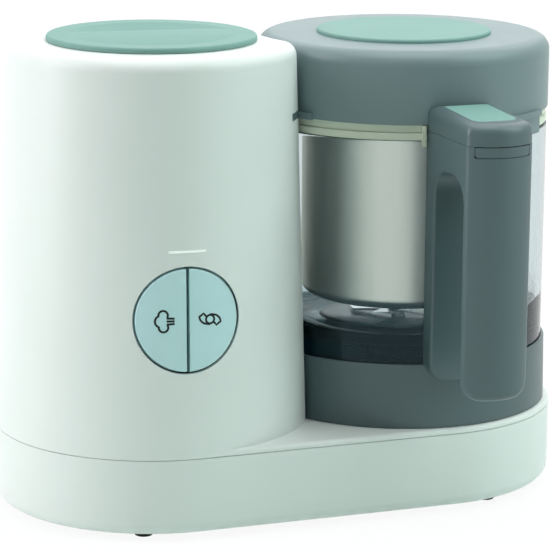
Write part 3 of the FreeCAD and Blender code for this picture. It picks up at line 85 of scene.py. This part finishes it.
def ranged(tree, source, **limits):
    """An output mapped from one range to another; the ranges are 0 to 1 unless they are given."""
    made = add(tree, "ShaderNodeMapRange", **limits)
    tree.links.new(source, made.inputs["Value"])
    return made


def blended(tree, factor, first, second):
    """A blend of two colours by a 0 to 1 output."""
    made = add(tree, "ShaderNodeMix")
    made.data_type = "RGBA"
    tree.links.new(factor, made.inputs[MIX_FACTOR])
    made.inputs[MIX_FIRST].default_value = first
    made.inputs[MIX_SECOND].default_value = second
    return made.outputs[MIX_RESULT]


def object_place(tree):
    return add(tree, "ShaderNodeTexCoord").outputs["Object"]


def noise(tree, scale_and_detail, place=None):
    scale, detail = scale_and_detail
    made = add(tree, "ShaderNodeTexNoise", Scale=scale, Detail=detail)
    tree.links.new(place or object_place(tree), made.inputs["Vector"])
    return made.outputs["Fac"]


def seen_rays(tree):
    """Two outputs: 1 for rays that see a thing plainly or through glass, and the same with mirrored rays."""
    rays = add(tree, "ShaderNodeLightPath")
    direct = maths(tree, "MAXIMUM", rays.outputs["Is Camera Ray"], rays.outputs["Is Transmission Ray"])
    return direct, maths(tree, "MAXIMUM", direct, rays.outputs["Is Glossy Ray"])


# Materials

# Colours, as linear values
WHITE = (0.80, 0.83, 0.82, 1.0)
GREY = (0.078, 0.121, 0.131, 1.0)
# The lid's grey is a lighter copy of the grey plastic: painted light, for the lid lit more brightly than the grey
# base and handle
PAINTED_LIT_GREY = (0.168, 0.236, 0.250, 1.0)
MINT = (0.190, 0.350, 0.314, 1.0)
BUTTON = (0.570, 0.790, 0.830, 1.0)
CREAM = (0.70, 0.74, 0.62, 1.0)
SILICONE = (0.66, 0.69, 0.60, 1.0)
DARK_SILICONE = (0.012, 0.026, 0.032, 1.0)
GLOSS_BLACK = (0.012, 0.020, 0.025, 1.0)
RUBBER = (0.018, 0.019, 0.020, 1.0)
DARK_PLASTIC = (0.030, 0.034, 0.036, 1.0)
BOARD_GREEN = (0.02, 0.12, 0.05, 1.0)
INK = (0.010, 0.016, 0.018, 1.0)
GUIDE = (0.86, 0.90, 0.88, 1.0)
BRUSHED_STEEL = (0.99, 0.97, 0.86, 1.0)
PLAIN_STEEL = (0.56, 0.57, 0.57, 1.0)
BLADE_STEEL = (0.62, 0.64, 0.66, 1.0)
ALUMINIUM = (0.60, 0.61, 0.62, 1.0)
IRON = (0.16, 0.13, 0.11, 1.0)

# Moulded plastic: noises as scale and detail for the colour, the gloss and the grain; the grain's depth is in
# metres
DRIFT = (14.0, 3.0)
GLOSS = (45.0, 4.0)
GLOSS_SPREAD = 0.05
GRAIN = (2600.0, 3.0)
GRAIN_DEPTH = 0.00006
GUIDE_ROUGHNESS = 0.22
GUIDE_GLOW = 0.3

# Brushed steel: noises for the lines and for the gloss, and how the lines are drawn out along the axis
LINES = (420.0, 4.0)
LINE_STRETCH = 0.6
LINE_TONES = (0.88, 1.06)
LINE_STRENGTH = 0.12
LINE_DEPTH = 0.00004
SHEEN = (9.0, 2.0)
SHEEN_ROUGHNESS = (0.36, 0.46)
SHEEN_WIDTH = 0.75

# Other metals: tones and gloss of a streak, and its depth in metres
STREAK_DETAIL = 5.0
STREAK_TONES = (0.90, 1.08)
STREAK_GLOSS = (-0.06, 0.08)
STREAK_STRENGTH = 0.1
STREAK_DEPTH = 0.00005

# Glass: colour of the surface, of the thickness and of the reflections, and a slow ripple
REFRACTION = 1.5
GLASS_CLEAR = (0.97, 0.99, 0.985, 1.0)
GLASS_TINT = (0.20, 0.42, 0.47, 1.0)
GLASS_DENSITY = 70.0
GLASS_SHINE = (0.38, 0.62, 0.70, 1.0)
GLASS_ROUGHNESS = 0.01
RIPPLE = (60.0, 2.0)
RIPPLE_STRENGTH = 0.05
RIPPLE_DEPTH = 0.0004


def new_material(name):
    """A node material with its nodes and its Principled shader."""
    material = bpy.data.materials.new(name)
    material.use_nodes = True
    tree = material.node_tree
    return material, tree, tree.nodes["Principled BSDF"]


def shade(colour, factor):
    return tuple(min(1.0, part * factor) for part in colour[:3]) + (1.0,)


def set_tone(tree, shader, source, colour, tones):
    """A base colour that varies between two tones of one colour."""
    dark, light = (shade(colour, factor) for factor in tones)
    tree.links.new(blended(tree, source, dark, light), shader.inputs["Base Color"])


def set_roughness(tree, shader, source, low, high):
    uneven = ranged(tree, source, To_Min=low, To_Max=high)
    tree.links.new(uneven.outputs["Result"], shader.inputs["Roughness"])


def set_bump(tree, shader, height, strength, depth):
    made = add(tree, "ShaderNodeBump", Strength=strength, Distance=depth)
    tree.links.new(height, made.inputs["Height"])
    tree.links.new(made.outputs["Normal"], shader.inputs["Normal"])


def moulded(name, colour, roughness, grain=0.25, variation=0.03, shine=0.25):
    """Moulded plastic: a fine spark-eroded grain, slow colour drift and uneven gloss."""
    material, tree, shader = new_material(name)
    drift = noise(tree, DRIFT)
    set_tone(tree, shader, drift, colour, (1.0 - variation, 1.0 + variation))
    gloss = noise(tree, GLOSS)
    set_roughness(tree, shader, gloss, roughness - GLOSS_SPREAD, roughness + GLOSS_SPREAD)
    set_bump(tree, shader, noise(tree, GRAIN), grain, GRAIN_DEPTH)
    shader.inputs["IOR"].default_value = REFRACTION
    shader.inputs["Specular IOR Level"].default_value = shine
    return material


def lit_guide(name, colour, roughness):
    """A light guide that glows a little."""
    material = moulded(name, colour, roughness)
    shader = material.node_tree.nodes["Principled BSDF"]
    shader.inputs["Emission Color"].default_value = colour
    shader.inputs["Emission Strength"].default_value = GUIDE_GLOW
    return material


def round_the_axis(tree, axis, stretch):
    """Coordinates that wrap round an upright axis: the angle, and the height times a stretch."""
    shifted = add(tree, "ShaderNodeVectorMath")
    shifted.operation = "SUBTRACT"
    shifted.inputs[1].default_value = (axis.x, axis.y, 0.0)
    tree.links.new(object_place(tree), shifted.inputs[0])
    parts = add(tree, "ShaderNodeSeparateXYZ")
    tree.links.new(shifted.outputs["Vector"], parts.inputs["Vector"])
    front = maths(tree, "MULTIPLY", parts.outputs["Y"], -1.0)
    joined = add(tree, "ShaderNodeCombineXYZ")
    tree.links.new(maths(tree, "ARCTAN2", parts.outputs["X"], front), joined.inputs["X"])
    tree.links.new(maths(tree, "MULTIPLY", parts.outputs["Z"], stretch), joined.inputs["Y"])
    return joined.outputs["Vector"]


def brushed_steel(name, colour, axis):
    """Sheet steel brushed upright: fine lines along Z that widen the highlight sideways."""
    material, tree, shader = new_material(name)
    around = round_the_axis(tree, axis, LINE_STRETCH)
    lines = noise(tree, LINES, around)
    set_tone(tree, shader, lines, colour, LINE_TONES)
    set_roughness(tree, shader, noise(tree, SHEEN, around), *SHEEN_ROUGHNESS)
    set_bump(tree, shader, lines, LINE_STRENGTH, LINE_DEPTH)
    shader.inputs["Metallic"].default_value = 1.0
    shader.inputs["Anisotropic"].default_value = SHEEN_WIDTH
    tangent = add(tree, "ShaderNodeTangent")
    tangent.direction_type = "RADIAL"
    tangent.axis = "Z"
    tree.links.new(tangent.outputs["Tangent"], shader.inputs["Tangent"])
    return material


def metal(name, colour, roughness, scale):
    """Plain machined or rolled metal with a faint streak."""
    material, tree, shader = new_material(name)
    streak = noise(tree, (scale, STREAK_DETAIL))
    set_tone(tree, shader, streak, colour, STREAK_TONES)
    set_roughness(tree, shader, streak, *(roughness + change for change in STREAK_GLOSS))
    set_bump(tree, shader, streak, STREAK_STRENGTH, STREAK_DEPTH)
    shader.inputs["Metallic"].default_value = 1.0
    return material


def clear_glass(name):
    """Pressed glass: clear, with a blue-green tint in the thickness and a slow ripple in the surface."""
    material, tree, shader = new_material(name)
    set_bump(tree, shader, noise(tree, RIPPLE), RIPPLE_STRENGTH, RIPPLE_DEPTH)
    shader.inputs["Base Color"].default_value = GLASS_CLEAR
    shader.inputs["Roughness"].default_value = GLASS_ROUGHNESS
    shader.inputs["IOR"].default_value = REFRACTION
    shader.inputs["Specular Tint"].default_value = GLASS_SHINE
    shader.inputs["Transmission Weight"].default_value = 1.0
    inside = add(tree, "ShaderNodeVolumeAbsorption", Color=GLASS_TINT, Density=GLASS_DENSITY)
    tree.links.new(inside.outputs["Volume"], tree.nodes["Material Output"].inputs["Volume"])
    return material


PLASTICS = {
    "white_shell": {"colour": WHITE, "roughness": 0.34},
    "grey_plastic": {"colour": GREY, "roughness": 0.38, "grain": 0.30, "shine": 0.5},
    # A lighter copy of the grey plastic for the lid, as painted light
    "lid_grey_painted_light": {"colour": PAINTED_LIT_GREY, "roughness": 0.42, "grain": 0.30, "shine": 0.5},
    "mint_plastic": {"colour": MINT, "roughness": 0.55, "grain": 0.35},
    "button_plastic": {"colour": BUTTON, "roughness": 0.36},
    "cream_plastic": {"colour": CREAM, "roughness": 0.40},
    "silicone": {"colour": SILICONE, "roughness": 0.55},
    "bed_silicone": {"colour": DARK_SILICONE, "roughness": 0.35},
    "gloss_black": {"colour": GLOSS_BLACK, "roughness": 0.22, "grain": 0.05},
    "black_rubber": {"colour": RUBBER, "roughness": 0.7, "grain": 0.5, "variation": 0.15},
    "dark_plastic": {"colour": DARK_PLASTIC, "roughness": 0.45, "grain": 0.35, "variation": 0.1},
    "circuit_board": {"colour": BOARD_GREEN, "roughness": 0.35, "grain": 0.1, "variation": 0.15},
    "ink": {"colour": INK, "roughness": 0.5, "grain": 0.1, "variation": 0.05},
}
METALS = {
    "plain_steel": {"colour": PLAIN_STEEL, "roughness": 0.32, "scale": 180.0},
    "blade_steel": {"colour": BLADE_STEEL, "roughness": 0.2, "scale": 320.0},
    "cast_aluminium": {"colour": ALUMINIUM, "roughness": 0.5, "scale": 90.0},
    "motor_core": {"colour": IRON, "roughness": 0.55, "scale": 240.0},
}
# Pieces that look different from their slot; the lid shell's lighter grey is painted light
LOOKS = {
    "lid_shell": "lid_grey_painted_light",
    "glass_gasket": "bed_silicone",
    "blade_seat": "gloss_black",
    "blade_cap_nut": "gloss_black",
}

materials = {name: moulded(name, **values) for name, values in PLASTICS.items()}
materials.update({name: metal(name, **values) for name, values in METALS.items()})
materials["light_guide"] = lit_guide("light_guide", GUIDE, GUIDE_ROUGHNESS)
materials["clear_glass"] = clear_glass("clear_glass")
materials["basket_steel"] = brushed_steel("basket_steel", BRUSHED_STEEL, JUG_AXIS)

for subpart in frame["record"]["subparts"]:
    look = LOOKS.get(subpart["node"], subpart["material_slot"])
    mesh = nodes[subpart["node"]].data
    mesh.materials.clear()
    mesh.materials.append(materials[look])


# Smooth shading of the CAD surfaces, sharp at their edges

SMOOTH_LIMIT = math.radians(28.0)
for obj in nodes.values():
    obj.data.shade_smooth()
    obj.data.set_sharp_from_angle(angle=SMOOTH_LIMIT)


# Symbols on the two buttons

PRESS = Vector(joints["steam_press"]["axis"])
FACE_NORMAL = -PRESS
FACE_RIGHT = Vector((-FACE_NORMAL.y, FACE_NORMAL.x, 0.0))
# The line's width, how far it stands out of the face and how deep it is sunk
ICON_LINE = 1.1 * MM
ICON_PROUD = 0.06 * MM
ICON_SUNK = 0.10 * MM
# The symbols' places, to the right of the tower's middle
STEAM_SHIFT = -12.2 * MM
BLEND_SHIFT = 11.8 * MM
# The steam cloud's lobes in millimetres: centre, radius, first and last angle in degrees, steps
CLOUD_LOBES = (
    (-0.75, 3.2, 2.4, -30, 186, 18),
    (-1.84, 0.0, 3.1, 117, 246, 12),
    (-0.6, -3.2, 2.4, 175, 395, 18),
)
# The steam's strokes in millimetres: their heights at the cloud and at the far end
STROKES = ((1.6, 1.45), (0.0, 0.05), (-1.6, -1.3))
STROKE_FROM = 1.0
STROKE_MIDDLE = 3.0
STROKE_TO = 5.1
# The blade set's hub and the outline of one blade, in millimetres before scaling
BLEND_SCALE = 1.07
HUB_RADIUS = 2.1
HUB_STEPS = 24
HUB_LAST = 345
BLADE_TIP = ((-1.7, 1.4), (-2.5, 2.1), (-3.3, 3.1), (-4.4, 2.2))
BLADE_SWEEP = ((-5.5, 1.6), (-4.9, -0.2), (-3.3, -1.7), (-1.5, -2.2), (0.0, -2.4))


class Face:
    """The curved front of a button, with x to the right and y up from a point on it."""

    def __init__(self, name, shift):
        mesh = nodes[name].data
        places = [vertex.co for vertex in mesh.vertices]
        self.tree = BVHTree.FromPolygons(places, [list(face.vertices) for face in mesh.polygons])
        low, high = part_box(name)
        self.centre = TOWER_AXIS + FACE_RIGHT * shift
        self.centre.z = (low.z + high.z) / 2

    def at(self, spot, height):
        """The place at a height above the face."""
        start = self.centre + FACE_RIGHT * spot.x + Vector((0.0, 0.0, spot.y)) + FACE_NORMAL
        hit = self.tree.ray_cast(start, PRESS)[0]
        return hit + FACE_NORMAL * height


def ribbon(built, points, face, closed=False):
    """A band of even width along a line on a face, sunk into it and standing out a little."""
    count = len(points)
    sides = []
    for index, point in enumerate(points):
        before = points[index - 1] if closed or index > 0 else point
        after = points[(index + 1) % count] if closed or index < count - 1 else point
        along = (after - before).normalized()
        across = Vector((-along.y, along.x)) * (ICON_LINE / 2)
        ring = []
        for height in (-ICON_SUNK, ICON_PROUD):
            for edge in (across, -across):
                ring.append(built.verts.new(face.at(point + edge, height)))
        sides.append(ring)
    for index in range(count if closed else count - 1):
        a = sides[index]
        b = sides[(index + 1) % count]
        for i, j in ((0, 1), (1, 3), (3, 2), (2, 0)):
            built.faces.new((a[i], a[j], b[j], b[i]))
    if not closed:
        for ring in (sides[0], sides[-1]):
            built.faces.new((ring[0], ring[1], ring[3], ring[2]))


def path(points, scale=1.0):
    return [Vector((x * MM, y * MM)) * scale for x, y in points]


def arc(x, y, radius, start, end, steps):
    """Points on an arc, from millimetres and degrees."""
    angles = [math.radians(start + (end - start) * step / steps) for step in range(steps + 1)]
    return path([(x + radius * math.cos(angle), y + radius * math.sin(angle)) for angle in angles])


def rounded_path(points, steps=4):
    """A smooth line through points."""
    ends = [points[0]] + points + [points[-1]]
    line = []
    for index in range(len(points) - 1):
        a, b, c, d = ends[index:index + 4]
        for step in range(steps):
            t = step / steps
            line.append(0.5 * (2 * b + (c - a) * t + (2 * a - 5 * b + 4 * c - d) * t ** 2
                               + (3 * b - 3 * c + d - a) * t ** 3))
    return line + [points[-1]]


def finish_symbol(built, name, body):
    """Turns a bmesh into a printed piece that rides on a button's body."""
    mesh = bpy.data.meshes.new(name)
    bmesh.ops.recalc_face_normals(built, faces=built.faces)
    built.to_mesh(mesh)
    built.free()
    piece = bpy.data.objects.new(name, mesh)
    scene.collection.objects.link(piece)
    mesh.materials.append(materials["ink"])
    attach(piece, body)


def steam_symbol():
    """A puff of steam: a cloud of three lobes, open to the right, with three strokes from it."""
    face = Face("steam_button", STEAM_SHIFT)
    built = bmesh.new()
    cloud = []
    for lobe in CLOUD_LOBES:
        cloud += arc(*lobe)
    ribbon(built, cloud, face)
    for start, end in STROKES:
        stroke = ((STROKE_FROM, start), (STROKE_MIDDLE, (start + end) / 2), (STROKE_TO, end))
        ribbon(built, path(stroke), face)
    finish_symbol(built, "steam_symbol", "steam_key")


def blend_symbol():
    """A blade set seen from above: a hub between two swept blades."""
    face = Face("blend_button", BLEND_SHIFT)
    built = bmesh.new()
    ribbon(built, arc(0.0, 0.0, HUB_RADIUS * BLEND_SCALE, 0, HUB_LAST, HUB_STEPS), face, closed=True)
    for side in (BLEND_SCALE, -BLEND_SCALE):
        ribbon(built, path(BLADE_TIP, side) + rounded_path(path(BLADE_SWEEP, side)), face)
    finish_symbol(built, "blend_symbol", "blend_key")


steam_symbol()
blend_symbol()


# Stage: floor, world, lights and camera

# The side of the studio that the camera stands on, and how its dark part fades to the sides
FRONT = (-0.35, -0.93, -0.1)
FRONT_EDGE = 0.85
SIDE_EDGE = 0.15
AMBIENT_COLOUR = (0.72, 1.0, 0.93, 1.0)
AMBIENT_FRONT = 0.0
AMBIENT_SIDES = 0.05
MIRRORED_FRONT = (0.92, 0.98, 0.90, 1.0)
PLAIN_WHITE = (1.0, 1.0, 1.0, 1.0)
# Half the floor's width in metres, and its surface
FLOOR_SIZE = 8.0
FLOOR_COLOUR = (0.77, 0.88, 0.83, 1.0)
FLOOR_ROUGHNESS = 0.8
# How bright the floor looks, and the share of that which shadows leave alone
FLOOR_GLOW = 1.02
FLOOR_GLOW_SHARE = 0.90
# From here on to there, in metres from the middle, the floor fades to plain white
FLOOR_NEAR = 0.3
FLOOR_FAR = 0.8
# The lamps' target, distances and shapes in metres
LAMP_TARGET = Vector((0.0, 0.0, 0.13))
FAR = 1.6
NEAR = 1.5
TALL = (0.7, 2.2)
WIDE = (1.3, 2.2)
SQUARE = (0.9, 0.9)
LARGE = (1.2, 1.2)
NEUTRAL = (1.0, 1.0, 1.0)
# Each lamp's name, azimuth and elevation in degrees, distance, shape, power in watts and colour
LAMPS = (
    ("key_left", -99.0, 6.0, FAR, TALL, 28.0, (1.0, 0.98, 0.985)),
    ("fill_right", 50.0, 6.0, FAR, WIDE, 8.8, (0.80, 1.0, 0.94)),
    ("high_right", 60.0, 45.0, FAR, SQUARE, 10.0, (0.87, 1.0, 0.95)),
    ("high_back_right", 120.0, 45.0, FAR, SQUARE, 4.5, NEUTRAL),
    ("high_back", 180.0, 45.0, FAR, SQUARE, 3.3, NEUTRAL),
    ("rim_right", 150.0, 6.0, FAR, TALL, 3.1, NEUTRAL),
    ("high_left", -120.0, 45.0, FAR, SQUARE, 2.5, NEUTRAL),
    ("top", 0.0, 86.0, NEAR, LARGE, 14.3, (0.97, 1.0, 0.98)),
)
# The camera's place and axes in metres, and its lens in millimetres
CAMERA_PLACE = (-0.52579, -1.37713, 0.46131)
CAMERA_RIGHT = Vector((0.93731, -0.3484, 0.0077))
CAMERA_UP = Vector((0.07063, 0.21155, 0.97481))
CAMERA_FORWARD = Vector((0.34126, 0.91316, -0.22289))
SENSOR_WIDTH = 36.0
LENS = 182.82


def stage_floor():
    """A floor that looks white and keeps a faint shadow near the object."""
    built = bmesh.new()
    bmesh.ops.create_grid(built, x_segments=1, y_segments=1, size=FLOOR_SIZE)
    mesh = bpy.data.meshes.new("floor")
    built.to_mesh(mesh)
    built.free()
    floor = bpy.data.objects.new("floor", mesh)
    scene.collection.objects.link(floor)
    material, tree, shader = new_material("floor")
    shader.inputs["Base Color"].default_value = FLOOR_COLOUR
    shader.inputs["Roughness"].default_value = FLOOR_ROUGHNESS
    distance = add(tree, "ShaderNodeVectorMath")
    distance.operation = "LENGTH"
    tree.links.new(object_place(tree), distance.inputs[0])
    fade = ranged(tree, distance.outputs["Value"], From_Min=FLOOR_NEAR, From_Max=FLOOR_FAR,
                  To_Min=FLOOR_GLOW_SHARE)
    _, seen = seen_rays(tree)
    glow = add(tree, "ShaderNodeEmission", Strength=FLOOR_GLOW)
    mix = add(tree, "ShaderNodeMixShader")
    tree.links.new(maths(tree, "MULTIPLY", seen, fade.outputs["Result"]), mix.inputs["Fac"])
    tree.links.new(shader.outputs["BSDF"], mix.inputs[1])
    tree.links.new(glow.outputs["Emission"], mix.inputs[2])
    tree.links.new(mix.outputs["Shader"], tree.nodes["Material Output"].inputs["Surface"])
    mesh.materials.append(material)


def stage_world():
    """White all round, with a dark studio behind the camera that lights nothing and is mirrored tinted."""
    world = bpy.data.worlds.new("studio")
    scene.world = world
    world.use_nodes = True
    tree = world.node_tree
    toward = add(tree, "ShaderNodeVectorMath")
    toward.operation = "DOT_PRODUCT"
    toward.inputs[1].default_value = FRONT
    tree.links.new(add(tree, "ShaderNodeTexCoord").outputs["Generated"], toward.inputs[0])
    away = ranged(tree, toward.outputs["Value"], From_Min=FRONT_EDGE, From_Max=SIDE_EDGE)
    away.interpolation_type = "SMOOTHSTEP"
    level = ranged(tree, away.outputs["Result"], To_Min=AMBIENT_FRONT, To_Max=AMBIENT_SIDES)
    ambient = tree.nodes["Background"]
    ambient.inputs["Color"].default_value = AMBIENT_COLOUR
    tree.links.new(level.outputs["Result"], ambient.inputs["Strength"])

    direct, seen = seen_rays(tree)
    plain = maths(tree, "MAXIMUM", direct, away.outputs["Result"])
    white = add(tree, "ShaderNodeBackground", Strength=1.0)
    tree.links.new(blended(tree, plain, MIRRORED_FRONT, PLAIN_WHITE), white.inputs["Color"])
    mix = add(tree, "ShaderNodeMixShader")
    tree.links.new(seen, mix.inputs["Fac"])
    tree.links.new(ambient.outputs["Background"], mix.inputs[1])
    tree.links.new(white.outputs["Background"], mix.inputs[2])
    tree.links.new(mix.outputs["Shader"], tree.nodes["World Output"].inputs["Surface"])


def softbox(name, azimuth, elevation, distance, extent, power, colour):
    """An area light that looks at the object's middle, placed by angles from the front."""
    turn = math.radians(azimuth)
    rise = math.radians(elevation)
    out = Vector((math.sin(turn) * math.cos(rise), -math.cos(turn) * math.cos(rise), math.sin(rise)))
    data = bpy.data.lights.new(name, "AREA")
    data.shape = "RECTANGLE"
    data.size = extent[0]
    data.size_y = extent[1]
    data.energy = power
    data.color = colour
    lamp = bpy.data.objects.new(name, data)
    lamp.location = LAMP_TARGET + out * distance
    lamp.rotation_euler = (-out).to_track_quat("-Z", "Y").to_euler()
    scene.collection.objects.link(lamp)


def stage_camera():
    data = bpy.data.cameras.new("camera")
    data.sensor_width = SENSOR_WIDTH
    data.lens = LENS
    camera = bpy.data.objects.new("camera", data)
    axes = Matrix((CAMERA_RIGHT, CAMERA_UP, -CAMERA_FORWARD)).transposed().to_4x4()
    camera.matrix_world = Matrix.Translation(CAMERA_PLACE) @ axes
    scene.collection.objects.link(camera)
    scene.camera = camera


stage_floor()
stage_world()
for lamp in LAMPS:
    softbox(*lamp)
stage_camera()
